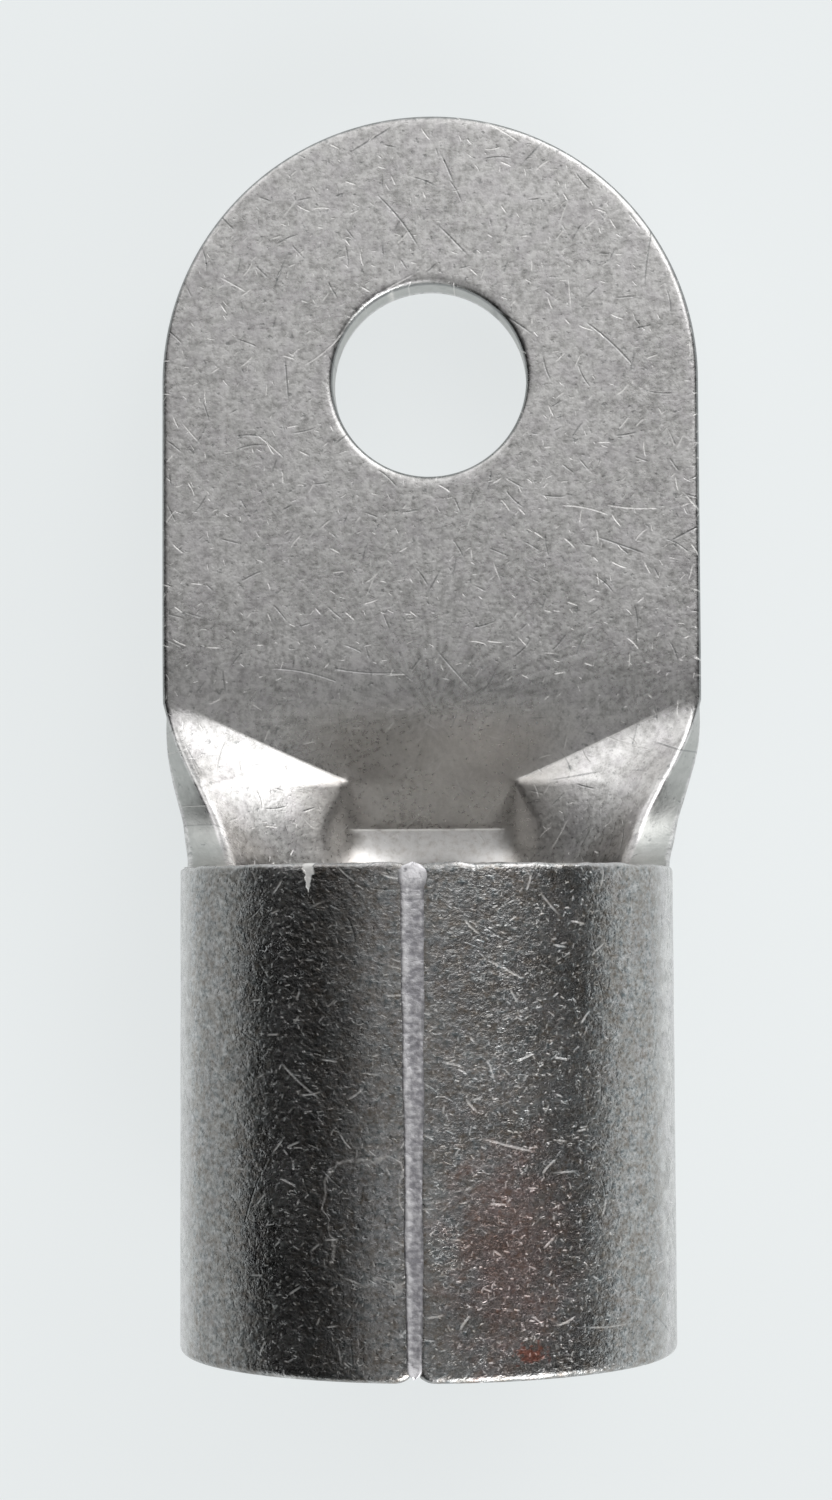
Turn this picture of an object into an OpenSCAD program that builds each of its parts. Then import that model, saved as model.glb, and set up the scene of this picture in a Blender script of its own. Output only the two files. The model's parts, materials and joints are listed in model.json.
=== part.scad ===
// Ring-tongue cable lug, stamped and rolled from one sheet.
// A flat palm with a stud hole runs through a folded neck into a rolled barrel
// whose two edges meet in a butt seam, brazed shut, on top.
// The palm points along +Y and the wire mouth opens towards -Y. The origin is the middle
// of the lug's length, on the line along the barrel's underside.

/* [Palm] */
// Width of the flat palm, and so the diameter of its round end
palm_w = 36; // [30:0.5:42]
// Diameter of the stud hole
stud_hole_d = 13; // [8.4:0.1:17]
// Distance from the stud hole's centre to the barrel's rear edge
hole_to_barrel = 33; // [28:0.5:45]
// Thickness of the sheet
sheet_t = 3.2; // [2.4:0.1:3.6]
// Radius of the edges that the stamping rolls over
edge_r = 0.45; // [0.2:0.05:0.6]

/* [Barrel] */
// Diameter of the bore that takes the conductor
bore_d = 24.6; // [21:0.2:28]
// Length of the barrel
barrel_len = 30; // [15:0.5:45]
// Width of the chamfer inside the wire mouth
mouth_chamfer = 0.7; // [0.2:0.1:1.2]

/* [Neck] */
// Length of the neck between the flat palm and the barrel
neck_len = 11.4; // [10.5:0.1:14]
// Height of the palm's underside above the barrel's lowest line
palm_lift = 3; // [1:0.1:5]
// Length of the level land between the foot of the trough and the barrel
land_len = 2.9; // [1.5:0.1:4]
// Distance along the neck over which the two creases run inwards
crease_len = 5.2; // [4:0.1:6]
// Distance between the inner ends of the two creases
crease_gap = 11.4; // [8:0.2:14]
// Distance of each crease's outer end from the edge of the palm
crease_inset = 1; // [0.8:0.1:2]
// Radius of the blank's inside corner between the neck and the barrel
corner_r = 4; // [2.5:0.1:5]
// How much the blank narrows on each side along the neck
waist = 0.4; // [0:0.1:1]

/* [Seam] */
// Width of the brazed seam along the barrel
seam_w = 0.9; // [0.5:0.1:1.6]
// Depth of the seam's hollow below the barrel's surface
seam_depth = 0.25; // [0.1:0.05:0.4]
// Angle by which the seam stands off the barrel's top, towards -X
seam_turn = 4; // [0:1:20]

/* [Hidden] */
tin_grey = [0.66, 0.65, 0.64];
$fn = 96;
nest = 0.02;          // the neck's ends lie this far inside the faces that they run into
lap = 0.5;            // the neck's ends run this far into the palm and the barrel
clear = 1;            // cutters reach this far past what they cut
stretch_steps = 8;    // stations along each of the neck's three stretches
floor_steps = 4;      // points across half of the neck's floor
bend_steps = 4;       // points across the bend between the floor and each wing
wing_steps = 9;       // points across each wing
edge_steps = 3;       // chords in each rolled-over edge
unroll = 1.2;         // how fast the wings open out from the barrel's curve
sharp = 0.15;         // half-width of the bend along a crease
soft = 3;             // half-width of the bend at the trough's foot
spread = 1.8;         // how far the bend has moved outwards at the trough's foot

bore_r = bore_d / 2;
barrel_r = bore_r + sheet_t;
mid_r = bore_r + sheet_t / 2;
palm_end = -(hole_to_barrel - neck_len);
hole_y = (hole_to_barrel + barrel_len - palm_w / 2) / 2;
u_crease = crease_len / neck_len;
u_foot = 1 - land_len / neck_len;
neck_t = sheet_t - 2 * nest;
neck_edge_r = edge_r - nest;

// ---- profiles shared by the palm and the neck ----

// Points round a rolled-over edge of radius r: [distance in from the edge, depth below the face]
function rolled_edge(r) = [for (i = [1 : edge_steps]) let (q = 90 * i / edge_steps)
    [r - r * sin(q), r - r * cos(q)]];

// Half of the palm's cross-section, from its middle plane to one edge
palm_half = let (half_w = palm_w / 2, edge = rolled_edge(edge_r)) concat(
    [[0, 0], [half_w - edge_r, 0]],
    [for (p = edge) [half_w - p[0], p[1]]],
    [for (i = [edge_steps - 1 : -1 : 0]) [half_w - edge[i][0], sheet_t - edge[i][1]]],
    [[half_w - edge_r, sheet_t], [0, sheet_t]]);

// ---- the neck's bending, as functions of u, 0 at the palm and 1 at the barrel ----

function deg(radians) = radians * 180 / PI;

// Curvature of the wings: they unroll from the barrel's own curve to the flat palm
function wing_curve(u) = (1 - pow(1 - u, unroll)) / mid_r;

// The same, measured along the top face, which lies inside the curve
function top_curve(u) = wing_curve(u) / (1 - wing_curve(u) * neck_t / 2);

// How much of the floor is left: all of it as far as the trough's foot, none at the barrel
function floor_share(u) = 1 - ease((u - u_foot) / (1 - u_foot));
function ease(v) = let (c = max(0, min(1, v))) c * c * (3 - 2 * c);

// How far the bend between the floor and a wing has opened past the crease's inner end
function opened(u) = ease((u - u_crease) / (u_foot - u_crease));

// Half-width of that bend
function bend_half(u) = sharp + (soft - sharp) * opened(u);

// Half the floor's width, to the middle of the bend: the creases run inwards, then it spreads
function floor_half(u) = let (outer = palm_w / 2 - crease_inset, inner = crease_gap / 2)
    inner + (outer - inner) * pow(max(0, 1 - u / u_crease), 0.95) + spread * opened(u);

// Half the blank's width: a waist, then the inside corner that widens it to the barrel
function blank_half(u) = let (d = max(0, corner_r - (1 - u) * neck_len))
    palm_w / 2 - nest - waist * sin(180 * u) + corner_r - sqrt(corner_r * corner_r - d * d);

// Height of the trough's floor
function floor_z(u) = sheet_t - nest + palm_lift * (1 - pow(min(1, u / u_foot), 1.4));

// Rise of an arc of curvature k at the length s along it, and its reach
function arc_rise(s, k) = k < 1e-6 ? 0 : (1 - cos(deg(k * s))) / k;
function arc_reach(s, k) = k < 1e-6 ? s : sin(deg(k * s)) / k;

// Height that the wings' arcs start from, below the floor: they meet it along the creases
function arc_z(u) = u <= u_crease ? floor_z(u) - arc_rise(floor_half(u), top_curve(u))
    : let (last = sheet_t - nest, v = (u - u_crease) / (1 - u_crease))
        last + (arc_z(u_crease) - last) * (1 - pow(v, 1.3));

// A point of the neck's top face at the length s from its middle
function top_point(s, u) = let (
    k = top_curve(u),
    flat = floor_half(u) * floor_share(u),
    wing = 1 - floor_share(u) * (1 - ease((s - floor_half(u)) / (2 * bend_half(u)) + 0.5)))
    [min(s, flat) + arc_reach(max(s, flat), k) - arc_reach(flat, k),
     floor_z(u) * (1 - wing) + (arc_z(u) + arc_rise(s, k)) * wing];

// The top point at s and the bottom point under it, square to the face, moved in from their faces by rim
function face_pair(s, u, rim = 0) = let (
    run = top_point(s + 0.1, u) - top_point(max(0, s - 0.1), u),
    down = s == 0 ? [0, -1] : [run[1], -run[0]] / norm(run),
    p = top_point(s, u))
    [p + down * rim, p + down * (neck_t - rim)];

// Half of the neck's section at u: pairs of a top and a bottom point, from the middle to the edge.
// The blank's width holds along the middle of the sheet.
function half_section(u) = let (
    k = top_curve(u),
    flat = floor_half(u) * floor_share(u),
    edge = flat + (blank_half(u) - flat) * (1 - wing_curve(u) * neck_t / 2) - neck_t * tan(deg(k * flat) / 2),
    inner = floor_half(u) - bend_half(u),
    outer = floor_half(u) + bend_half(u))
    concat(
        [for (i = [0 : floor_steps - 1]) face_pair(inner * i / floor_steps, u)],
        [for (i = [0 : bend_steps - 1]) face_pair(inner + (outer - inner) * i / bend_steps, u)],
        [for (i = [0 : wing_steps]) face_pair(outer + (edge - neck_edge_r - outer) * i / wing_steps, u)],
        [for (p = rolled_edge(neck_edge_r)) face_pair(edge - p[0], u, p[1])]);

// ---- the solids ----

module palm() {
    translate([0, 0, palm_lift]) difference() {
        union() {
            rotate_extrude(angle = 180) polygon(palm_half);
            rotate([90, 0, 0]) linear_extrude(-palm_end) {
                polygon(palm_half);
                mirror([1, 0]) polygon(palm_half);
            }
        }
        stud_hole();
    }
}

// Straight hole with the punch's rolled-over edge on top
module stud_hole() {
    translate([0, 0, -clear]) cylinder(d = stud_hole_d, h = sheet_t + 2 * clear);
    rotate_extrude() polygon(concat(
        [[0, sheet_t + clear], [stud_hole_d / 2 + edge_r, sheet_t + clear]],
        [[stud_hole_d / 2 + edge_r, sheet_t]],
        [for (p = rolled_edge(edge_r)) [stud_hole_d / 2 + p[0], sheet_t - p[1]]],
        [[0, sheet_t - edge_r]]));
}

module neck() {
    us = concat(
        [for (i = [0 : stretch_steps - 1]) u_crease * i / stretch_steps],
        [for (i = [0 : stretch_steps - 1]) u_crease + (u_foot - u_crease) * i / stretch_steps],
        [for (i = [0 : stretch_steps]) u_foot + (1 - u_foot) * sin(90 * i / stretch_steps)]);
    rows = concat([[lap, 0]], [for (u = us) [0, u]], [[-lap, 1]]);
    points = [for (row = rows) let (y = palm_end - neck_len * row[1] + row[0],
            half = half_section(row[1]), n = len(half))
        each [for (side = [0, 1], i = [0 : 2 * n - 2]) let (j = i - n + 1, p = half[abs(j)][side])
            [(j < 0 ? -p[0] : p[0]), y, p[1]]]];
    across = 2 * len(half_section(0)) - 1;
    ring = 2 * across;
    rings = len(rows);
    strip = function (a, b, c, d) [[a, b, c], [a, c, d]];
    walls = [for (k = [0 : rings - 2], i = [0 : across - 2]) let (p = k * ring + i, q = p + across)
        each concat(strip(p, p + 1, p + 1 + ring, p + ring), strip(q + 1, q, q + ring, q + 1 + ring))];
    rims = [for (k = [0 : rings - 2]) let (p = k * ring, q = p + across - 1)
        each concat(strip(p + across, p, p + ring, p + across + ring),
                    strip(q, q + across, q + across + ring, q + ring))];
    ends = [for (i = [0 : across - 2]) let (p = i, q = (rings - 1) * ring + i)
        each concat(strip(p + 1, p, p + across, p + across + 1),
                    strip(q, q + 1, q + across + 1, q + across))];
    polyhedron(points, concat(walls, rims, ends));
}

module barrel() {
    translate([0, -hole_to_barrel, barrel_r]) rotate([90, 0, 0]) difference() {
        rotate_extrude() polygon(concat(
            [[bore_r, 0], [barrel_r, 0], [barrel_r, barrel_len - edge_r]],
            [for (p = rolled_edge(edge_r)) [barrel_r - p[1], barrel_len - p[0]]],
            [[bore_r + mouth_chamfer, barrel_len], [bore_r, barrel_len - mouth_chamfer]]));
        seam();
    }
}

// Shallow round-bottomed hollow that the braze leaves along the butt seam
module seam() {
    groove_r = (seam_w * seam_w / 4 + seam_depth * seam_depth) / (2 * seam_depth);
    rotate([0, 0, 90 + seam_turn])
        translate([barrel_r + groove_r - seam_depth, 0, -clear])
            cylinder(r = groove_r, h = barrel_len + 2 * clear, $fn = 32);
}

module lug() {
    color(tin_grey) translate([0, hole_y, 0]) {
        palm();
        neck();
        barrel();
    }
}

lug();
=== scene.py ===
import json
import math
import random

import bmesh
import bpy
from mathutils import Matrix, Vector
from mathutils.geometry import delaunay_2d_cdt
from mathutils.kdtree import KDTree

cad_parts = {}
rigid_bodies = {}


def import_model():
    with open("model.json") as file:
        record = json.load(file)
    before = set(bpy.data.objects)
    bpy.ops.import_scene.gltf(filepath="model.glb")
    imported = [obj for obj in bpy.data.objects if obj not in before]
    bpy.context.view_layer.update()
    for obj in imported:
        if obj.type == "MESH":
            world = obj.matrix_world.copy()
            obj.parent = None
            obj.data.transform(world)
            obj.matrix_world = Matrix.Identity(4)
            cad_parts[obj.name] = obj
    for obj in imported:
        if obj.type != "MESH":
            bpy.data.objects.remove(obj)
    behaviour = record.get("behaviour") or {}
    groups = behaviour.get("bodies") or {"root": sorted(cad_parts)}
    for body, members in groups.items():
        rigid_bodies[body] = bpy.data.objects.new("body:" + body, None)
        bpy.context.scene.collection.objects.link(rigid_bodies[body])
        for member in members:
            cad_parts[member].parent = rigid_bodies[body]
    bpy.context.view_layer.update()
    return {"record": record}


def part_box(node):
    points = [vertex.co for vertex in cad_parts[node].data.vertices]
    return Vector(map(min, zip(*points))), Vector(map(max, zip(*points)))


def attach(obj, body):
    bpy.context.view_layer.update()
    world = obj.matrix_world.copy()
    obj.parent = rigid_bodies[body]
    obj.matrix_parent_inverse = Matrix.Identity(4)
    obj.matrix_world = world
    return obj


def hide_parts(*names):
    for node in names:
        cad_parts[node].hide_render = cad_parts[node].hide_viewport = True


for leftover in list(bpy.data.objects):
    bpy.data.objects.remove(leftover)
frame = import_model()
mm = 0.001


# ---- node sums, written as Python expressions ----

class Wire:  # a node's output that takes part in sums
    def __init__(self, bench, socket):
        self.bench, self.socket = bench, socket

    def other(self, name):  # another output of the same node
        return Wire(self.bench, self.socket.node.outputs[name])

    def maths(self, operation, *values):
        return self.bench.node("ShaderNodeMath", {"operation": operation}, dict(enumerate(values)))

    def __add__(self, value):
        return self.maths("ADD", self, value)

    def __sub__(self, value):
        return self.maths("SUBTRACT", self, value)

    def __rsub__(self, value):
        return self.maths("SUBTRACT", value, self)

    def __mul__(self, value):
        return self.maths("MULTIPLY", self, value)

    def __truediv__(self, value):
        return self.maths("DIVIDE", self, value)

    def __rtruediv__(self, value):
        return self.maths("DIVIDE", value, self)

    def __pow__(self, value):
        return self.maths("POWER", self, value)

    __radd__, __rmul__ = __add__, __mul__


class Bench:  # adds nodes to one tree
    def __init__(self, tree):
        self.tree = tree
        tree.nodes.clear()

    def node(self, kind, settings=None, sockets=None, output=0):
        made = self.tree.nodes.new(kind)
        for name, value in (settings or {}).items():
            if name == "stops":
                self.setStops(made.color_ramp, value)
            else:
                setattr(made, name, value)
        for key, value in (sockets or {}).items():
            if isinstance(value, Wire):
                self.tree.links.new(value.socket, made.inputs[key])
            else:
                made.inputs[key].default_value = value
        return Wire(self, made.outputs[output]) if made.outputs else made

    def setStops(self, ramp, stops):
        while len(ramp.elements) < len(stops):
            ramp.elements.new(0.5)
        for element, (place, shade) in zip(ramp.elements, stops):
            element.position = place
            element.color = (shade, shade, shade, 1) if isinstance(shade, float) else (*shade, 1)


def either(operation, plain, *values):  # one sum, on numbers or on wires
    wires = [v for v in values if isinstance(v, Wire)]
    return wires[0].maths(operation, *values) if wires else plain(*values)


def sine(a):
    return either("SINE", math.sin, a)


def cosine(a):
    return either("COSINE", math.cos, a)


def tangent(a):
    return either("TANGENT", math.tan, a)


def least(a, b):
    return either("MINIMUM", min, a, b)


def most(a, b):
    return either("MAXIMUM", max, a, b)


def ease(a):  # 0 to 1, level at both ends
    a = least(most(a, 0), 1)
    return a * a * (3 - 2 * a)


# ---- the sheet's sizes and the rule that it bends by ----

def mount(name):
    return next(m for m in frame["record"]["mounts"] if m["name"] == name)


def sheetSizes():
    hole, bore = mount("stud_hole"), mount("barrel_bore")
    boreR, axisZ = bore["dims"]["r_mm"] * mm, bore["pos_m"][2]
    sheet = axisZ - boreR
    rearY = bore["pos_m"][1] + bore["dims"]["length_mm"] * mm / 2
    neckRun = 11.4 * mm
    return {
        "holeR": hole["dims"]["r_mm"] * mm,
        "holeY": hole["pos_m"][1],
        "palmHalf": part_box("lug")[1][0],
        "palmEndY": rearY + neckRun,
        "palmLift": mount("palm_top")["pos_m"][2] - sheet,
        "sheet": sheet,
        "midR": boreR + sheet / 2,
        "rearY": rearY,
        "mouthY": rearY - bore["dims"]["length_mm"] * mm,
        "neckRun": neckRun,
        "landRun": 2.9 * mm,
        "creaseRun": 5.2 * mm,
        "creaseHalf": 5.7 * mm,  # half the gap between the creases' inner ends
        "creaseInset": 1 * mm,
        "bendSpread": 0,
        "unroll": 1.2,
    }


def wingBend(u, d):  # curvature of the wings at the middle of the sheet
    return (1 - (1 - u) ** d["unroll"]) / d["midR"]


def topBend(u, d):  # the same, measured along the top face
    wing = wingBend(u, d)
    return wing / (1 - wing * d["sheet"] / 2)


def floorHalf(u, d):  # the creases run inwards, then the floor keeps its width
    uCrease = d["creaseRun"] / d["neckRun"]
    run = d["palmHalf"] - d["creaseInset"] - d["creaseHalf"]
    return d["creaseHalf"] + run * most(1 - u / uCrease, 0) ** 0.95 + d["bendSpread"] * opened(u, d)


def opened(u, d):  # how far the bend beside the floor has opened past the crease's inner end
    uCrease = d["creaseRun"] / d["neckRun"]
    return ease((u - uCrease) / (1 - d["landRun"] / d["neckRun"] - uCrease))


def floorShare(u, d):  # how much of the floor is left: none at the barrel
    past = most((u - 1) * (d["neckRun"] / d["landRun"]) + 1, 0)
    return 1 - ease(past * past)


def arcRise(s, bend):
    half = sine(s * bend / 2)
    return half * half * 2 / bend


def arcReach(s, bend):
    return sine(s * bend) / bend


# ---- the flat blank ----

blank = {
    "waist": 0.4 * mm,  # how far the neck narrows on each side
    "cornerR": 4 * mm,  # inside corners between neck and barrel
    "buttR": 0.9 * mm,  # outside corners at the ends of the seam
    "seamTurn": math.radians(1),  # how far the seam stands off the top, towards -X
    "seamGap": 0.1 * mm,
    "palmStep": 0.33 * mm,  # point spacing on the palm's top and on the barrel's outside
    "hiddenStep": 0.42 * mm,  # on the palm's underside
    "boreStep": 0.7 * mm,
    "rimStep": 0.33 * mm,
}

# rim of the sheet on each stretch of its outline: top roll, bottom roll, flatness of the top roll
rims = {
    "side": (0.45 * mm, 0.42 * mm, 0),
    "rear": (0.2 * mm, 0.25 * mm, 0),
    "butt": (0.2 * mm, 0.5 * mm, 0),
    "mouth": (0.7 * mm, 0.45 * mm, 1),
    "hole": (0.45 * mm, 0.15 * mm, 0),
}


def topHalf(u, d, side=1):  # half the blank's width, along its top face
    near = max(0, blank["cornerR"] - (1 - u) * d["neckRun"])
    corner = blank["cornerR"] - math.sqrt(blank["cornerR"] ** 2 - near * near)
    half = d["palmHalf"] - blank["waist"] * math.sin(math.pi * u) + corner
    flat = floorHalf(u, d) * floorShare(u, d)
    lost = d["sheet"] * math.tan(topBend(u, d) * flat / 2)
    return flat + (half - flat) * (1 - wingBend(u, d) * d["sheet"] / 2) - lost


def buttPlaces(d):
    boreR = d["midR"] - d["sheet"] / 2
    turn = boreR * blank["seamTurn"]
    half = math.pi * boreR - blank["seamGap"] / 2
    return -half + turn, half + turn


def reach(y, d):  # how far the blank goes to each side at y
    if y < d["rearY"]:
        return buttPlaces(d)
    up = max(0, y - d["holeY"])
    if up > 0:
        half = math.sqrt(max(0, d["palmHalf"] ** 2 - up * up))
    else:
        half = topHalf(min(1, max(0, (d["palmEndY"] - y) / d["neckRun"])), d)
    return -half, half


def line(a, b, step):
    count = max(1, round(math.dist(a, b) / step))
    return [(a[0] + (b[0] - a[0]) * i / count, a[1] + (b[1] - a[1]) * i / count) for i in range(count)]


def arc(centre, r, start, end, step):
    count = max(2, round(abs(end - start) * r / step))
    turns = [start + (end - start) * i / count for i in range(count)]
    return [(centre[0] + r * math.cos(a), centre[1] + r * math.sin(a)) for a in turns]


def halfOutline(d, buttS):  # from the tip down one side to the mouth, on the side of +X
    step, quarter = blank["rimStep"], math.pi / 2
    cornerR, r = blank["cornerR"], blank["buttR"]
    straight = int((d["neckRun"] - cornerR) / step)
    around = int(cornerR * quarter / step)
    us = [(1 - cornerR / d["neckRun"]) * i / straight for i in range(straight)]
    us += [1 - cornerR * (1 - math.sin(quarter * i / around)) / d["neckRun"] for i in range(around)]
    stretches = [
        ("side", arc((0, d["holeY"]), d["palmHalf"], quarter, 0, step)),
        ("side", line((d["palmHalf"], d["holeY"]), (d["palmHalf"], d["palmEndY"]), step)),
        ("side", [(topHalf(u, d), d["palmEndY"] - u * d["neckRun"]) for u in us]),
        ("rear", line((topHalf(1, d), d["rearY"]), (buttS - r, d["rearY"]), step)),
        ("rear", arc((buttS - r, d["rearY"] - r), r, quarter, 0, 0.15 * mm)),
        ("butt", line((buttS, d["rearY"] - r), (buttS, d["mouthY"] + r), step)),
        ("butt", arc((buttS - r, d["mouthY"] + r), r, 0, -quarter, 0.15 * mm)),
        ("mouth", line((buttS - r, d["mouthY"]), (0, d["mouthY"]), step)),
    ]
    return [(p, rims[name]) for name, points in stretches for p in points]


def blankOutline(d):
    left, right = buttPlaces(d)
    there = halfOutline(d, right)
    back = halfOutline(d, -left)
    back = [((-p[0], p[1]), rim) for p, rim in reversed(back)]
    loop = there + [((0, d["mouthY"]), rims["mouth"])] + back[:-1]
    shapes = [rim for p, rim in loop]
    for _ in range(3):  # one rim runs over into the next
        shapes = [[(shapes[i - 1][k] + 2 * rim[k] + shapes[(i + 1) % len(shapes)][k]) / 4 for k in range(3)]
                  for i, rim in enumerate(shapes)]
    return [p for p, rim in loop], shapes


def rimRows(shape, sheet):  # places across a rim: how far in, how deep
    top, bottom, flat = shape
    steps = [i / 4 for i in range(5)]
    quarter = math.pi / 2
    rows = [(top * ((1 - flat) * (1 - math.sin(quarter * i)) + flat * (1 - i)),
             top * ((1 - flat) * (1 - math.cos(quarter * i)) + flat * i)) for i in steps]
    wall = sheet - top - bottom
    rows += [(0, top + wall * i / 4) for i in (1, 2, 3)]
    rows += [(bottom * (1 - math.sin(quarter * i)), sheet - bottom * (1 - math.cos(quarter * i)))
             for i in reversed(steps)]
    return rows


def addRim(mesh, loop, shapes, sheet):  # a clockwise loop has its material on the right
    count = len(loop)
    rings = []
    for i, (s, y) in enumerate(loop):
        before, after = loop[i - 1], loop[(i + 1) % count]
        along = Vector((after[0] - before[0], after[1] - before[1])).normalized()
        rings.append([mesh.verts.new((s + along.y * inset, y - along.x * inset, -depth))
                      for inset, depth in rimRows(shapes[i], sheet)])
    for i, ring in enumerate(rings):
        following = rings[(i + 1) % count]
        for k in range(len(ring) - 1):
            mesh.faces.new((ring[k], following[k], following[k + 1], ring[k + 1]))
    return [ring[0] for ring in rings], [ring[-1] for ring in rings]


def creaseLines(d):  # the folds' own lines, so that the surface breaks along them
    lines = []
    for side in (-1, 1):
        for off in (-0.22 * mm, 0, 0.22 * mm):
            us = [0.01 + 0.45 * i / 30 for i in range(31)]
            lines.append([(side * (floorHalf(u, d) + off), d["palmEndY"] - u * d["neckRun"]) for u in us])
    return lines


def faceStep(y, top, d):
    if y > d["rearY"]:
        return (blank["palmStep"], 1) if top else (blank["hiddenStep"], 1)
    return (blank["boreStep"], 1) if top else (blank["palmStep"], 1 - d["sheet"] / (d["midR"] + d["sheet"] / 2))


def fillFace(mesh, loops, top, d):  # triangles between the rims, on a staggered grid
    corners = [v for loop in loops for v in loop]
    places = [v.co.xy.copy() for v in corners]
    inward, edges = [], []
    for loop in loops:
        first = len(edges)
        for i, v in enumerate(loop):
            run = loop[(i + 1) % len(loop)].co - loop[i - 1].co
            inward.append(Vector((run.y, -run.x)))
            edges.append((first + i, first + (i + 1) % len(loop)))
    hem = KDTree(len(places))
    for i, p in enumerate(places):
        hem.insert(p.to_3d(), i)
    hem.balance()

    def isInside(p):
        near, i, _ = hem.find(p.to_3d())
        return inward[i].dot(p - near.xy) > 0

    for fold in (creaseLines(d) if top else []):
        first = len(places)
        places += [Vector(p) for p in fold]
        edges += [(first + i, first + i + 1) for i in range(len(fold) - 1)]
    taken = KDTree(len(places))
    for i, p in enumerate(places):
        taken.insert(p.to_3d(), i)
    taken.balance()
    y, row = max(p.y for p in places), 0
    bottomY = min(p.y for p in places)
    while y > bottomY:
        step, squeeze = faceStep(y, top, d)
        left, right = reach(y, d)
        count = max(2, round((right - left) / (step * squeeze)))
        for i in range(count):
            p = Vector((left + (right - left) * (i + (0.25 if row % 2 else 0.75)) / count, y))
            if taken.find(p.to_3d())[2] > 0.62 * step * squeeze and isInside(p):
                places.append(p)
        y -= step * 0.866
        row += 1
    found, _, triangles, origins, _, _ = delaunay_2d_cdt([p / mm for p in places], edges, [], 0, 1e-5, True)
    depth = corners[0].co.z
    verts = []
    for p, origin in zip(found, origins):
        known = [i for i in origin if i < len(corners)]
        verts.append(corners[known[0]] if known else mesh.verts.new((p.x * mm, p.y * mm, depth)))
    for triangle in triangles:
        onHem = max(min(origins[i]) for i in triangle) < len(corners)
        middle = sum((found[i] for i in triangle), Vector((0, 0))) / 3 * mm
        if onHem and not isInside(middle):
            continue
        a, b, c = (verts[i] for i in triangle)
        mesh.faces.new((a, b, c) if top else (c, b, a))


def flatBlank(d):
    mesh = bmesh.new()
    loop, shapes = blankOutline(d)
    outerTop, outerBottom = addRim(mesh, loop, shapes, d["sheet"])
    hole = arc((0, d["holeY"]), d["holeR"], 0, 2 * math.pi, blank["rimStep"] * 0.8)
    innerTop, innerBottom = addRim(mesh, hole, [rims["hole"]] * len(hole), d["sheet"])
    fillFace(mesh, [outerTop, innerTop], True, d)
    fillFace(mesh, [outerBottom, innerBottom], False, d)
    bmesh.ops.recalc_face_normals(mesh, faces=mesh.faces)
    result = bpy.data.meshes.new("sheetBlank")
    mesh.to_mesh(result)
    print("  open edges", sum(not e.is_manifold for e in mesh.edges), "faces", len(mesh.faces))
    mesh.free()
    return result


# ---- the tree that wears and bends what is flat ----

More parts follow.
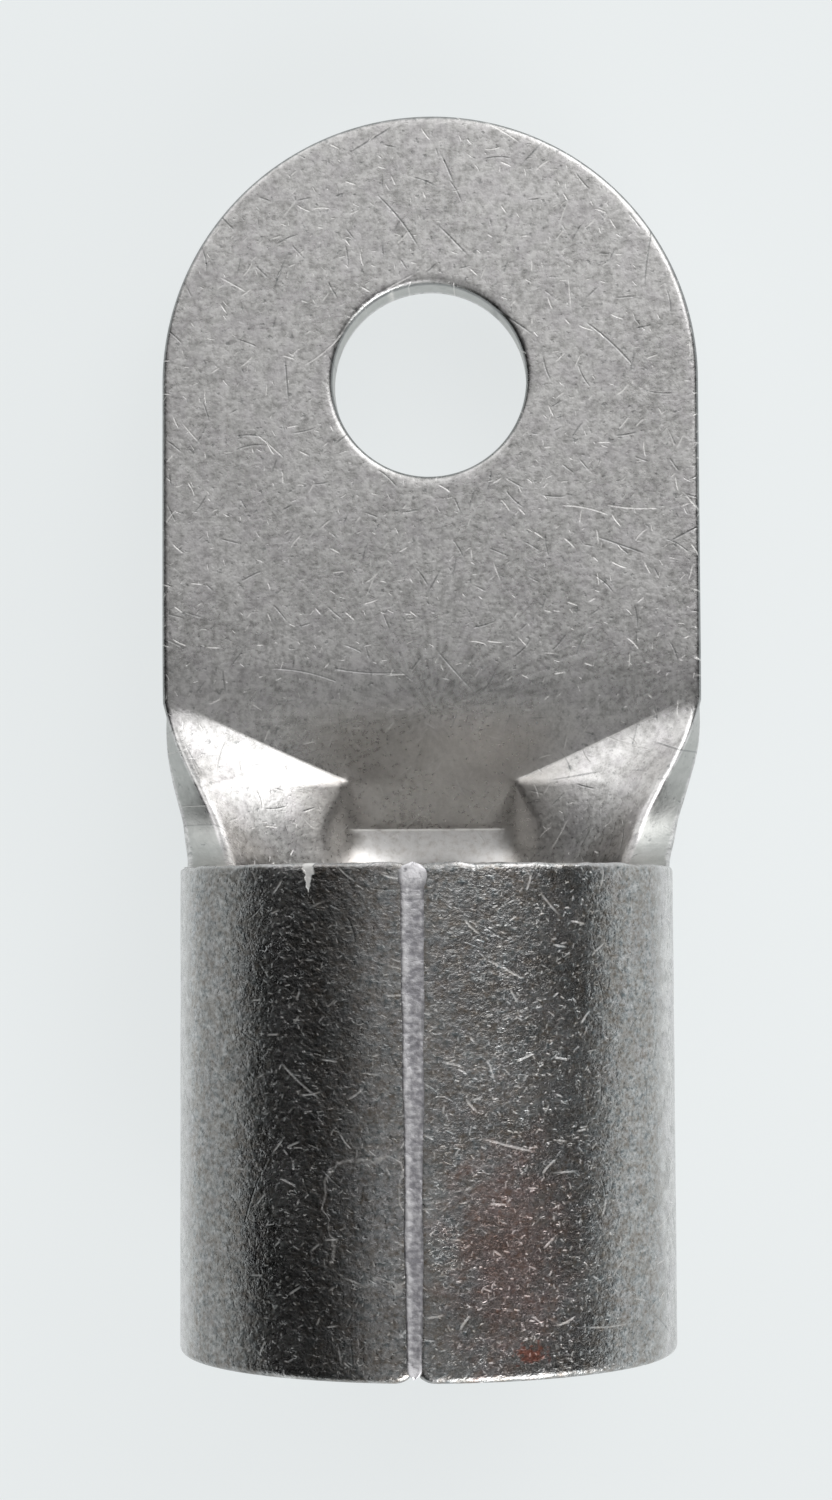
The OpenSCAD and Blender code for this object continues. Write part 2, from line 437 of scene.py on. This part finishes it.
def bendTree(d):
    tree = bpy.data.node_groups.new("rollSheet", "GeometryNodeTree")
    tree.interface.new_socket("Geometry", in_out="INPUT", socket_type="NodeSocketGeometry")
    tree.interface.new_socket("Geometry", in_out="OUTPUT", socket_type="NodeSocketGeometry")
    for name in d:
        tree.interface.new_socket(name, in_out="INPUT", socket_type="NodeSocketFloat")
    for name in ("dentDepth", "burr", "seed", "sharp", "soft", "ease", "sag", "dish"):
        tree.interface.new_socket(name, in_out="INPUT", socket_type="NodeSocketFloat")
    tree.interface.new_socket("finish", in_out="INPUT", socket_type="NodeSocketMaterial")
    bench = Bench(tree)
    given = bench.node("NodeGroupInput")
    size = {name: given.other(name) for name in d}
    flat = bench.node("GeometryNodeInputPosition")
    apart = bench.node("ShaderNodeSeparateXYZ", {}, {0: flat})
    s, y, depth = apart, apart.other("Y"), apart.other("Z") * -1
    kept = bench.node("GeometryNodeStoreNamedAttribute", {"data_type": "FLOAT_VECTOR", "domain": "POINT"},
                      {"Geometry": given.other("Geometry"), "Name": "flat", "Value": flat})

    # wear, before the bending
    def noise(scale, detail, seedStep):
        shifted = bench.node("ShaderNodeVectorMath", {"operation": "ADD"}, {0: flat, 1: (seedStep, 0, 0)})
        return bench.node("ShaderNodeTexNoise", {"noise_dimensions": "4D"},
                          {"Vector": shifted, "W": given.other("seed"), "Scale": scale, "Detail": detail})
    swell = (noise(250, 1, 0) - 0.5) * 2.4 + (noise(800, 1, 0.3) - 0.5) * 0.8
    nearRear = ease(1 - (size["rearY"] - y) / (0.9 * mm)) * ease((s.maths("ABSOLUTE", s) - 19.5 * mm) / (2 * mm))
    ragged = (noise(900, 2, 0.7) - 0.42) * given.other("burr") * nearRear
    y = y + ragged
    face = depth / size["sheet"] * 2 - 1
    depth = depth + face * swell * given.other("dentDepth") + face * nearRear * ragged * 0.4

    # bending
    u = least(most((size["palmEndY"] - y) / size["neckRun"], 0), 1)
    a = s.maths("ABSOLUTE", s)
    side = s.maths("SIGN", s)
    bend = most(topBend(u, size), 0.01)
    width = floorHalf(u, size)
    share = floorShare(u, size)
    flatPart = width * share
    x = least(a, flatPart) + arcReach(most(a, flatPart), bend) - arcReach(flatPart, bend)

    # heights of the trough's floor and of the arcs that the wings lie on
    uCrease = size["creaseRun"] / size["neckRun"]
    uFoot = 1 - size["landRun"] / size["neckRun"]

    def floorUp(left):
        return size["sheet"] + size["palmLift"] * most(left, 0) ** 1.1
    left = 1 - (size["palmEndY"] - y) / (size["neckRun"] * uFoot)
    left = 1 - ((1 - left) + ((1 - left) ** 2 + given.other("ease") ** 2) ** 0.5) / 2
    floorZ = floorUp(left)
    dish = given.other("dish")
    hollow = dish * ease(u / uCrease) * (a / width) * (a / width)
    atCrease = floorUp(1 - uCrease / uFoot) + dish - arcRise(size["creaseHalf"], topBend(uCrease, size))
    past = most((u - uCrease) / (1 - uCrease), 0)
    fall = past * (given.other("sag") + (1 - given.other("sag")) * past)
    later = atCrease + (size["sheet"] - atCrease) * fall
    isPast = u.maths("GREATER_THAN", u, uCrease)
    arcZ = (floorZ + dish * ease(u / uCrease) - arcRise(width, bend)) * (1 - isPast) + later * isPast
    floorZ = floorZ + hollow * share
    gap = arcZ + arcRise(a, bend) - floorZ

    # the bend between floor and wing: sharp along the crease, soft past its inner end
    def wingShare(bendHalf):
        return 1 - share * (1 - ease((a - width) / (2 * bendHalf) + 0.5))
    bendHalf = given.other("sharp") + (given.other("soft") - given.other("sharp")) * opened(u, size)
    underHalf = most(bendHalf, 1 * mm)
    wing = wingShare(bendHalf)
    under = wingShare(underHalf)
    t = least(most((a - width) / (2 * underHalf) + 0.5, 0), 1)
    angle = under * bend * a + share * 6 * t * (1 - t) / (2 * underHalf) * gap
    z = floorZ + gap * wing - depth * cosine(angle)
    x = x + depth * sine(angle)
    bent = bench.node("ShaderNodeCombineXYZ", {}, {0: x * side, 1: y, 2: z})
    moved = bench.node("GeometryNodeSetPosition", {}, {"Geometry": kept, "Position": bent})
    real = bench.node("GeometryNodeRealizeInstances", {}, {"Geometry": moved})
    dressed = bench.node("GeometryNodeSetMaterial", {}, {"Geometry": real, "Material": given.other("finish")})
    bench.node("NodeGroupOutput", {}, {0: dressed})
    return tree


def bendPiece(name, mesh, tree, inputs):  # the finished plain mesh
    flatObject = bpy.data.objects.new(name + "Flat", mesh)
    bpy.context.collection.objects.link(flatObject)
    modifier = flatObject.modifiers.new("rollSheet", "NODES")
    modifier.node_group = tree
    for item in tree.interface.items_tree:
        if item.in_out == "INPUT" and item.name in inputs:
            modifier[item.identifier] = inputs[item.name]
    flatObject.update_tag()
    depsgraph = bpy.context.evaluated_depsgraph_get()
    result = bpy.data.meshes.new_from_object(flatObject.evaluated_get(depsgraph), depsgraph=depsgraph)
    flatObject.modifiers.clear()
    bpy.data.objects.remove(flatObject)
    for polygon in result.polygons:
        polygon.use_smooth = True
    piece = bpy.data.objects.new(name, result)
    bpy.context.collection.objects.link(piece)
    return piece


# ---- braze along the seam ----

braze = {
    "rearHalf": 0.68 * mm,  # half-widths along the bore, at the rear edge and at the mouth
    "mouthHalf": 0.4 * mm,
    "hollow": 0.06 * mm,
    "proud": 0.05 * mm,
    "deep": 0.8 * mm,
    "wander": 0.06 * mm,
    "blob": 1.3 * mm,
    "blobRise": 0.04 * mm,
    "back": 0.3 * mm,  # how far it stays behind the mouth
    "step": 0.2 * mm,
    "across": 12,
    "seed": 7,
}


def brazeMiddle(d):
    return buttPlaces(d)[1] + blank["seamGap"] / 2


def brazeStrip(d):  # a closed flat strip, hollow on top, with a blob at its rear end
    rng = random.Random(braze["seed"])
    waves = [(rng.uniform(0.3, 2.2) / mm, rng.uniform(0, 6.28), rng.uniform(0.3, 1)) for _ in range(9)]
    run = d["rearY"] - d["mouthY"] - braze["back"]
    count, across = int(run / braze["step"]), braze["across"]
    strip = bmesh.new()
    rings = []
    for i in range(count + 1):
        along = run * i / count
        y = d["rearY"] - along
        drift = [sum(size * math.sin(turn * along + phase + side) for turn, phase, size in waves) / 9
                 for side in (0, 1.7, 3.1)]
        blob = math.sqrt(max(0, 1 - (along / braze["blob"] - 0.5) ** 2 * 4))
        blunt = min(1, math.sqrt(2 * along / mm + 0.02), math.sqrt(2 * (run - along) / mm + 0.02))
        half = braze["rearHalf"] + (braze["mouthHalf"] - braze["rearHalf"]) * along / run
        half = (half + braze["wander"] * drift[0] * 2 + 0.12 * mm * blob) * blunt
        middle = brazeMiddle(d) + braze["wander"] * drift[1]
        hollow = braze["hollow"] * (1 + drift[2]) * (1 - blob)
        places = [-1 + 2 * k / across for k in range(across + 1)]
        ring = [(middle + half * p, d["sheet"] + braze["proud"] * (1 - 3 * p ** 8)
                 + (braze["blobRise"] * blob - hollow) * (1 - p * p) ** 1.5) for p in places]
        ring = [(middle - half, d["sheet"] - braze["deep"])] + ring + [(middle + half, d["sheet"] - braze["deep"])]
        rings.append([strip.verts.new((s, y, -depth)) for s, depth in ring])
    for one, two in zip(rings, rings[1:]):
        for k in range(len(one)):
            strip.faces.new((one[k - 1], one[k], two[k], two[k - 1]))
    strip.faces.new(rings[0])
    strip.faces.new(rings[-1][::-1])
    bmesh.ops.triangulate(strip, faces=strip.faces[:])
    bmesh.ops.recalc_face_normals(strip, faces=strip.faces[:])
    mesh = bpy.data.meshes.new("brazeStrip")
    strip.to_mesh(mesh)
    strip.free()
    return mesh


# ---- finishes ----

def startMaterial(name):
    material = bpy.data.materials.new(name)
    material.use_nodes = True
    return material, Bench(material.node_tree)


tinLook = {
    "dark": (0.42, 0.415, 0.405, 1),
    "light": (0.76, 0.75, 0.74, 1),
    # bright: scratches, the stain's ring and the nick, and painted highlights along the creases and the trough's
    # foot
    "scratchAndPaintedGlint": (0.9, 0.89, 0.87, 1),
    "trough": (0.60, 0.56, 0.51, 1),
    "violet": (0.60, 0.565, 0.60, 1),
    "stain": (0.70, 0.71, 0.74, 1),
    # painted highlight for the land past the trough's foot
    "land": (0.9, 0.9, 0.9, 1),
    # painted dark reflections for the barrel's upper part: a warm dark, a cool dark and a near-black
    "paintedDarkReflectionWarm": (0.23, 0.2, 0.17, 1),
    "paintedDarkReflectionCool": (0.18, 0.205, 0.215, 1),
    "paintedReflectionBlack": (0.09, 0.085, 0.08, 1),
    "cut": (0.46, 0.47, 0.45, 1),
    # dark: specks, dark scratches and pits, and painted shade on the rolled top rims of the palm and its hole
    "rim": (0.2, 0.21, 0.21, 1),
    "copper": (0.42, 0.13, 0.08, 1),
    "roughness": 0.3,
}

# scratches: cell, half length, half width, share of the cells, all in millimetres but the last
# cell, half-length, half-width and share of the cells that hold one
scratchLayers = {
    "fleck": (0.5, 0.19, 0.05, 0.75),
    "nick": (1.1, 0.3, 0.055, 0.5),
    "short": (2.1, 0.65, 0.075, 0.6),
    "long": (5.2, 2.0, 0.08, 0.4),
    "dark": (7.0, 3.0, 0.09, 0.6),
    "score": (2.4, 1.0, 0.08, 0.7),
}


def mix(bench, share, first, second):  # colours
    return bench.node("ShaderNodeMix", {"data_type": "RGBA"}, {"Factor": share, 6: first, 7: second}, 2)


def grainOf(bench, place, scale, detail=2.0, roughness=0.55):
    return bench.node("ShaderNodeTexNoise", {}, {"Vector": place, "Scale": scale, "Detail": detail,
                                                 "Roughness": roughness})


def scratchesOf(bench, place, layer, shift):
    cell, half, width, share = layer
    moved = bench.node("ShaderNodeVectorMath", {"operation": "ADD"}, {0: place, 1: (shift, shift * 0.7, 0)})
    cells = bench.node("ShaderNodeTexVoronoi", {"voronoi_dimensions": "2D"}, {"Vector": moved, "Scale": 1 / cell})
    away = bench.node("ShaderNodeVectorMath", {"operation": "SUBTRACT"}, {0: moved, 1: cells.other("Position")})
    spot = bench.node("ShaderNodeSeparateXYZ", {}, {0: away})
    chance = bench.node("ShaderNodeSeparateColor", {}, {0: cells.other("Color")})
    turn = chance * 6.283
    acrossX, acrossY = cosine(turn), sine(turn)
    onward = spot * acrossX + spot.other("Y") * acrossY
    aside = spot.other("Y") * acrossX - spot * acrossY + onward * onward * (chance.other("Blue") - 0.5) * 0.3 / half
    reachHalf = half * (0.35 + 0.65 * chance.other("Blue"))
    groove = most(1 - aside.maths("ABSOLUTE", aside) / width, 0)
    ends = ease((reachHalf - onward.maths("ABSOLUTE", onward)) / (half * 0.4))
    return groove * ends * chance.maths("LESS_THAN", chance.other("Green"), share)


def spotOf(bench, apart, centre, radii, frayed=0.0):  # an oval patch on the flat sheet, 1 in its middle
    x = (apart - centre[0]) / radii[0]
    y = (apart.other("Y") - centre[1]) / radii[1]
    return 1 - (x * x + y * y) ** 0.5 + frayed


def roundedPatch(bench, apart, centre, radii, frayed):  # 1 on the edge of a patch with rounded corners
    x = apart - centre[0]
    y = apart.other("Y") - centre[1]
    x = x.maths("ABSOLUTE", x) / radii[0]
    y = y.maths("ABSOLUTE", y) / radii[1]
    return (x ** 4 + y ** 4) ** 0.25 + frayed


def tinnedCopper(d):
    material, bench = startMaterial("tinnedCopper")
    stored = bench.node("ShaderNodeAttribute", {"attribute_name": "flat"}, {}, "Vector")
    place = bench.node("ShaderNodeVectorMath", {"operation": "SCALE"}, {0: stored, "Scale": 1000.0})
    apart = bench.node("ShaderNodeSeparateXYZ", {}, {0: place})
    y, depth = apart.other("Y"), apart.other("Z") * -1
    s = apart.maths("ABSOLUTE", apart)
    rearY, endY = d["rearY"] / mm, d["palmEndY"] / mm

    grain = grainOf(bench, place, 3.2, 3)
    fine = grainOf(bench, place, 7.0, 2)
    mottle = grainOf(bench, place, 0.9, 3)
    cloud = grainOf(bench, place, 0.16, 2)

    # where the sheet takes another colour: the cut walls have another finish, the neck's trough takes a warmer,
    # slightly darker tint, and the palm's rolled rims take painted shade
    onTop = ease((1.2 - depth) / 0.6)
    outside = ease((depth - 2.2) / 0.6)
    barrel = ease((rearY + 0.2 - y) / 0.6)
    neck = ease((endY + 1 - y) / 4) * (1 - barrel)
    trough = onTop * neck * ease((11 - s + 3 * (mottle - 0.5)) / 6)
    cut = ease((depth - 0.4) / 0.2) * ease((2.75 - depth) / 0.2)
    roll = ease(depth / 0.18) * (1 - cut) * onTop * (1 - barrel) * (1 - neck)

    flecks = scratchesOf(bench, place, scratchLayers["fleck"], 61.7) * ease((grain - 0.38) / 0.2)
    nicks = scratchesOf(bench, place, scratchLayers["nick"], 3.1)
    shorts = scratchesOf(bench, place, scratchLayers["short"], 17.7)
    longs = scratchesOf(bench, place, scratchLayers["long"], 41.3)
    darks = scratchesOf(bench, place, scratchLayers["dark"], 77.9)
    darks = most(darks, scratchesOf(bench, place, scratchLayers["score"], 91.3) * 0.8)
    calm = 1 - 0.75 * trough
    skin = barrel * outside
    bright = most(most(nicks * 0.7, shorts), longs * 0.8) * calm
    bright = most(bright, flecks * (0.15 + 0.75 * skin) * calm)
    specks = ease((grainOf(bench, place, 2.1, 2) - 0.62) / 0.1) * calm

    # painted highlights: bright lines along the creases and the trough's foot
    u = (endY - y) / (d["neckRun"] / mm)
    offCrease = s - floorHalf(u, d) / mm
    paintedGlintLines = ease(1 - offCrease.maths("ABSOLUTE", offCrease) / 0.24) * ease((0.47 - u) / 0.03) * onTop * neck
    foot = (u - 1 + d["landRun"] / d["neckRun"]) * (d["neckRun"] / mm)
    inland = onTop * ease((5.6 - s + 2 * (mottle - 0.5)) / 1.2) * (1 - barrel)
    land = ease(foot / 0.15) * inland
    paintedGlintLines = most(paintedGlintLines, ease(1 - foot.maths("ABSOLUTE", foot) / 0.13) * inland * ease((mottle - 0.3) / 0.2))

    # colour
    swirl = grainOf(bench, place, 1.7, 4, 0.7)
    tone = 0.6 + (mottle - 0.5) * 1.5 + (grain - 0.5) * 1.6 + (cloud - 0.5) * 0.8 + (fine - 0.5) * 0.6
    tone = tone + (swirl - 0.5) * 2.6 * calm
    colour = mix(bench, least(most(tone, 0), 1), tinLook["dark"], tinLook["light"])
    violet = ease((grainOf(bench, place, 0.55, 2) - 0.45) / 0.2)
    colour = mix(bench, violet * 0.22, colour, tinLook["violet"])
    warm = spotOf(bench, apart, (34.3, -33), (4.2, 9), (mottle - 0.5) * 1.6)
    spot = spotOf(bench, apart, (33.4, -39), (0.95, 0.8), (grain - 0.5) * 2.5 + (mottle - 0.5))
    colour = mix(bench, trough * 0.6, colour, tinLook["trough"])
    torn = grainOf(bench, place, 0.3, 3)
    stain = 1 - roundedPatch(bench, apart, (-36.1, -31.6), (2.0, 3.5), (torn - 0.5) * 1.4 + (mottle - 0.5) * 0.2)
    ring = ease(1 - stain.maths("ABSOLUTE", stain) / 0.05) * outside * ease((mottle - 0.36) / 0.1)
    colour = mix(bench, ease(stain * 8) * outside * 0.3, colour, tinLook["stain"])
    wedge = (rearY - y) / 2.0 + (apart + 33.4).maths("ABSOLUTE", apart + 33.4) / 0.36
    nick = ease((1 - wedge + (grain - 0.5) * 1.2) / 0.25) * outside
    pits = ease(spotOf(bench, apart, (37.5, -32.6), (0.8, 2.0)) / 0.4) * ease((grain - 0.52) / 0.06) * outside
    # painted dark reflections over the barrel's upper part, with a near-black painted reflection band on the side
    # of -s; both are lighter across a strip about s = -32
    clearer = ease(1 - (apart + 32).maths("ABSOLUTE", apart + 32) / 2)
    paintedDarkReflection = mix(bench, ease((swirl - 0.35) / 0.3), tinLook["paintedDarkReflectionWarm"], tinLook["paintedDarkReflectionCool"])
    paintedReflectionZone = skin * ease((s - 22.5) / 3)
    paintedDarkReflectionShare = paintedReflectionZone * (0.6 - 0.35 * clearer + (grain - 0.5) * 1.9 + (fine - 0.5) * 1.5)
    colour = mix(bench, least(most(paintedDarkReflectionShare, 0), 1), colour, paintedDarkReflection)
    paintedBlackBand = skin * ease((-24.5 - apart + (mottle - 0.5)) / 2) * ease((apart + 36.8 + (mottle - 0.5)) / 1.6)
    paintedBlackBandShare = paintedBlackBand * (0.42 - 0.35 * clearer + (grain - 0.5) * 0.6)
    colour = mix(bench, least(most(paintedBlackBandShare, 0), 1), colour, tinLook["paintedReflectionBlack"])
    colour = mix(bench, ease(warm * 1.2) * outside * 0.26, colour, tinLook["copper"])
    colour = mix(bench, ease(spot * 1.6) * outside * 0.7, colour, tinLook["copper"])
    # painted highlight: the land past the trough's foot is painted paler
    colour = mix(bench, land * ease((swirl - 0.2) / 0.4) * 0.6, colour, tinLook["land"])
    colour = mix(bench, cut * 0.75, colour, tinLook["cut"])
    # painted shade: the rolled top rims of the palm and its hole are painted dark
    colour = mix(bench, roll * 0.75, colour, tinLook["rim"])
    colour = mix(bench, least(specks * 0.5 + darks * 0.6 * calm, 1), colour, tinLook["rim"])
    colour = mix(bench, pits * 0.8, colour, tinLook["rim"])
    # brighter: scratches, the stain's ring and the nick, and the painted highlights along the creases and the
    # trough's foot; scratches are dimmer inside the painted dark reflection
    colour = mix(bench, least(bright * (0.8 - 0.4 * paintedReflectionZone) + ring * 0.35 + nick + paintedGlintLines * 0.9, 1), colour, tinLook["scratchAndPaintedGlint"])

    roughness = tinLook["roughness"] + 0.16 * (cloud - 0.5) + 0.25 * (grain - 0.5) + 0.1 * cut
    roughness = roughness + 0.38 * most(most(bright, nick), most(ring * 0.4, paintedGlintLines)) - skin * 0.04 + land * 0.12
    height = (grain * 0.012 + fine * 0.005 + mottle * 0.014 + swirl * 0.02 - specks * 0.006) * calm
    height = height * (1 + 1.9 * skin) - bright * 0.016 - darks * 0.014 * calm
    height = height - nick * 0.15 - pits * 0.05 + ring * 0.01
    bump = bench.node("ShaderNodeBump", {}, {"Height": height, "Distance": mm, "Strength": 1.0}, "Normal")
    shader = bench.node("ShaderNodeBsdfPrincipled", {}, {"Base Color": colour, "Metallic": 1.0,
                                                         "Roughness": roughness, "Normal": bump})
    bench.node("ShaderNodeOutputMaterial", {}, {"Surface": shader})
    return material


brazeLook = {
    "dull": (0.43, 0.42, 0.45, 1),
    "pale": (0.9, 0.89, 0.91, 1),
    "dark": (0.17, 0.17, 0.18, 1),
    "roughness": 0.42,
}


def brazedTin(d):
    material, bench = startMaterial("brazedTin")
    stored = bench.node("ShaderNodeAttribute", {"attribute_name": "flat"}, {}, "Vector")
    place = bench.node("ShaderNodeVectorMath", {"operation": "SCALE"}, {0: stored, "Scale": 1000.0})
    apart = bench.node("ShaderNodeSeparateXYZ", {}, {0: place})
    grain = grainOf(bench, place, 3.2, 3)
    mottle = grainOf(bench, place, 0.7, 2)
    aside = apart - brazeMiddle(d) / mm
    back = (apart.other("Y") * -1 + d["rearY"] / mm) / ((d["rearY"] - d["mouthY"]) / mm)
    aside = aside / (braze["rearHalf"] / mm + (braze["mouthHalf"] - braze["rearHalf"]) / mm * back)
    stripe = ease((aside + (mottle - 0.5) * 0.8) / 0.5) * ease((1.1 - aside) / 0.3)
    edge = ease((-0.62 - aside + (mottle - 0.5) * 0.5) / 0.2)
    ends = most(ease((0.05 - back) / 0.03), ease((back - 0.95) / 0.03)) * ease((mottle + grain - 0.72) / 0.25)
    tone = 0.3 + (grain - 0.5) * 2.6 + (mottle - 0.5) * 1.2
    colour = mix(bench, least(most(tone + stripe * 0.45 + ends, 0), 1), brazeLook["dull"], brazeLook["pale"])
    away = aside.maths("ABSOLUTE", aside) + (mottle - 0.5) * 0.9
    colour = mix(bench, ease((away - 0.5) / 0.6) * 0.6, colour, brazeLook["dark"])
    colour = mix(bench, edge * (1 - ends) * 0.4, colour, brazeLook["dark"])
    height = grain * 0.06 + mottle * 0.05
    bump = bench.node("ShaderNodeBump", {}, {"Height": height, "Distance": mm, "Strength": 1.0}, "Normal")
    rough = brazeLook["roughness"] + 0.3 * (grain - 0.5) + 0.2 * ends
    shader = bench.node("ShaderNodeBsdfPrincipled", {}, {"Base Color": colour, "Metallic": 1.0,
                                                         "Roughness": rough, "Normal": bump})
    bench.node("ShaderNodeOutputMaterial", {}, {"Surface": shader})
    return material


# ---- studio ----

studio = {
    "lens": 71.8,
    "tilt": 3.61,  # degrees, in the order that they are given
    "roll": -2.28,
    "turn": 0.27,
    "away": 206.69 * mm,
    "across": -1.12 * mm,
    "along": -24.45 * mm,
}


def addCamera(d):
    turn = (Matrix.Rotation(-math.radians(studio["tilt"]), 3, "X")
            @ Matrix.Rotation(math.radians(studio["roll"]), 3, "Y")
            @ Matrix.Rotation(math.radians(studio["turn"]), 3, "Z")).transposed()
    place = turn @ Vector((studio["across"], studio["along"], studio["away"])) + Vector((0, d["holeY"], 0))
    camera = bpy.data.objects.new("camera", bpy.data.cameras.new("camera"))
    camera.data.lens = studio["lens"]
    camera.data.clip_start = 1 * mm
    camera.matrix_world = Matrix.Translation(place) @ turn.to_4x4()
    bpy.context.collection.objects.link(camera)
    bpy.context.scene.camera = camera


# soft patches of sky: azimuth and height in degrees, narrowness, strength
sky = {
    "base": 0.0,
    "patches": [
        (60, 65, 20, 0.8),
        (120, 65, 20, 0.54),
        (240, 65, 20, 0.43),
        (300, 65, 20, 0.07),
        (45, 40, 20, 2.5),
        (90, 40, 20, 0.62),
        (135, 40, 20, 0.88),
        (270, 40, 20, 0.52),
        (60, 12, 14, 3.2),
        (120, 12, 14, 1.65),
        (300, 12, 14, 8.5),
    ],
}


def addWorld():
    world = bpy.data.worlds.new("studioAir")
    world.use_nodes = True
    bench = Bench(world.node_tree)
    path = bench.node("ShaderNodeLightPath")
    direction = bench.node("ShaderNodeTexCoord", {}, {}, "Generated")
    light = None
    for azimuth, height, narrow, strength in sky["patches"]:
        a, h = math.radians(azimuth), math.radians(height)
        aim = (math.cos(h) * math.cos(a), math.cos(h) * math.sin(a), math.sin(h))
        facing = bench.node("ShaderNodeVectorMath", {"operation": "DOT_PRODUCT"}, {0: direction, 1: aim}, "Value")
        patch = most(facing, 0) ** narrow * strength
        light = patch if light is None else light + patch
    air = bench.node("ShaderNodeBackground", {}, {"Color": (1, 1, 1, 1), "Strength": light + sky["base"]})
    pale = bench.node("ShaderNodeBackground", {}, {"Color": (0.86, 0.9, 0.905, 1), "Strength": 1})
    mixed = bench.node("ShaderNodeMixShader", {}, {0: path.other("Is Camera Ray"), 1: air, 2: pale})
    bench.node("ShaderNodeOutputWorld", {}, {"Surface": mixed})
    bpy.context.scene.world = world


def addFloor():
    bpy.ops.mesh.primitive_plane_add(size=4)
    floor = bpy.context.active_object
    floor.name = "floor"
    material, bench = startMaterial("paleFloor")
    path = bench.node("ShaderNodeLightPath")
    seen = most(most(path.other("Is Camera Ray"), path.other("Is Glossy Ray")), path.other("Is Transmission Ray"))
    matt = bench.node("ShaderNodeBsdfDiffuse", {}, {"Color": (0.8, 0.83, 0.84, 1)})
    pale = bench.node("ShaderNodeEmission", {}, {"Color": (0.86, 0.895, 0.9, 1), "Strength": 1})
    mixed = bench.node("ShaderNodeMixShader", {}, {0: seen * 0.8, 1: matt, 2: pale})
    bench.node("ShaderNodeOutputMaterial", {}, {"Surface": mixed})
    floor.data.materials.append(material)


# ---- making the scene ----

sizes = sheetSizes()
print("sizes", {name: round(value * 1000, 2) for name, value in sizes.items()})
addCamera(sizes)
addWorld()
addFloor()
print("studio ready")

tree = bendTree(sizes)
tin = tinnedCopper(sizes)
wear = {"dentDepth": 0.02 * mm, "burr": 0.35 * mm, "seed": 3, "finish": tin,
        "sharp": 0.22 * mm, "soft": 1.9 * mm, "ease": 0.25, "sag": 1.2, "dish": 0.4 * mm}
body = bendPiece("lugSheet", flatBlank(sizes), tree, {**sizes, **wear})
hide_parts("lug")
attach(body, "root")
print("sheet bent")

wear["finish"] = brazedTin(sizes)
seam = bendPiece("brazeSeam", brazeStrip(sizes), tree, {**sizes, **wear})
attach(seam, "root")
print("seam brazed")

bpy.context.scene.view_settings.view_transform = "Standard"
